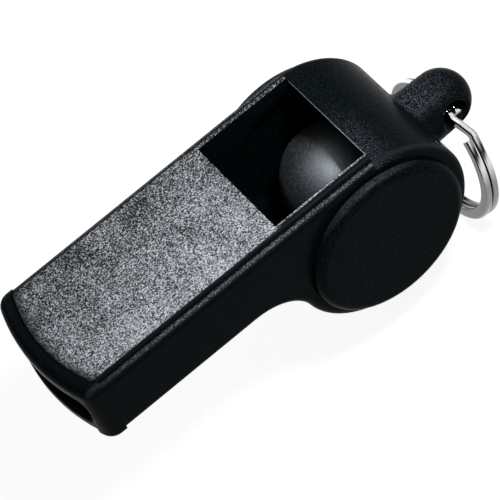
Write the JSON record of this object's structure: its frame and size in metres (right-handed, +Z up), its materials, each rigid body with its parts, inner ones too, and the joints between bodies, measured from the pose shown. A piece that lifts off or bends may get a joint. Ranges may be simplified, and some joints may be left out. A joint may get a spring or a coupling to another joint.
{
  "type": "sports whistle",
  "caption": "Black plastic pea whistle with a textured top plate, square sound window, round chamber with side caps, loose pea and a steel split ring on a lug.",
  "frame": {"origin": "Middle of the round chamber: on the chamber's axis, halfway between the two side caps.", "axes": "+X along the whistle from the mouth (-X) to the ring lug (+X); +Y along the chamber's axis towards the left cap; +Z up, out of the sound window."},
  "size_m": [0.0582, 0.021, 0.0283],
  "materials": {
    "shell": "satin black moulded plastic",
    "grained_plate": "coarse spark-eroded grain, dry and pale in raking light",
    "cap": "satin black moulded plastic, a little duller than the shell",
    "pea": "smooth dark grey ball with a soft sheen",
    "ring": "bright nickel-plated spring steel"
  },
  "bodies": {
    "whistle": {"body": "shell", "top_plate": "grained_plate", "left_cap": "cap", "right_cap": "cap"},
    "pea_ball": {"pea": "pea"},
    "ring": {"split_ring": "ring"}
  },
  "joints": [
    {"name": "pea_orbit", "type": "hinge", "parent": "whistle", "child": "pea_ball", "pos_m": [0, 0, 0], "axis": [0, 1, 0], "continuous": true},
    {"name": "ring_swing", "type": "hinge", "parent": "whistle", "child": "ring", "pos_m": [0.01505, 0, 0.0003], "axis": [0, -1, 0], "range_deg": [-20, 225]}
  ]
}
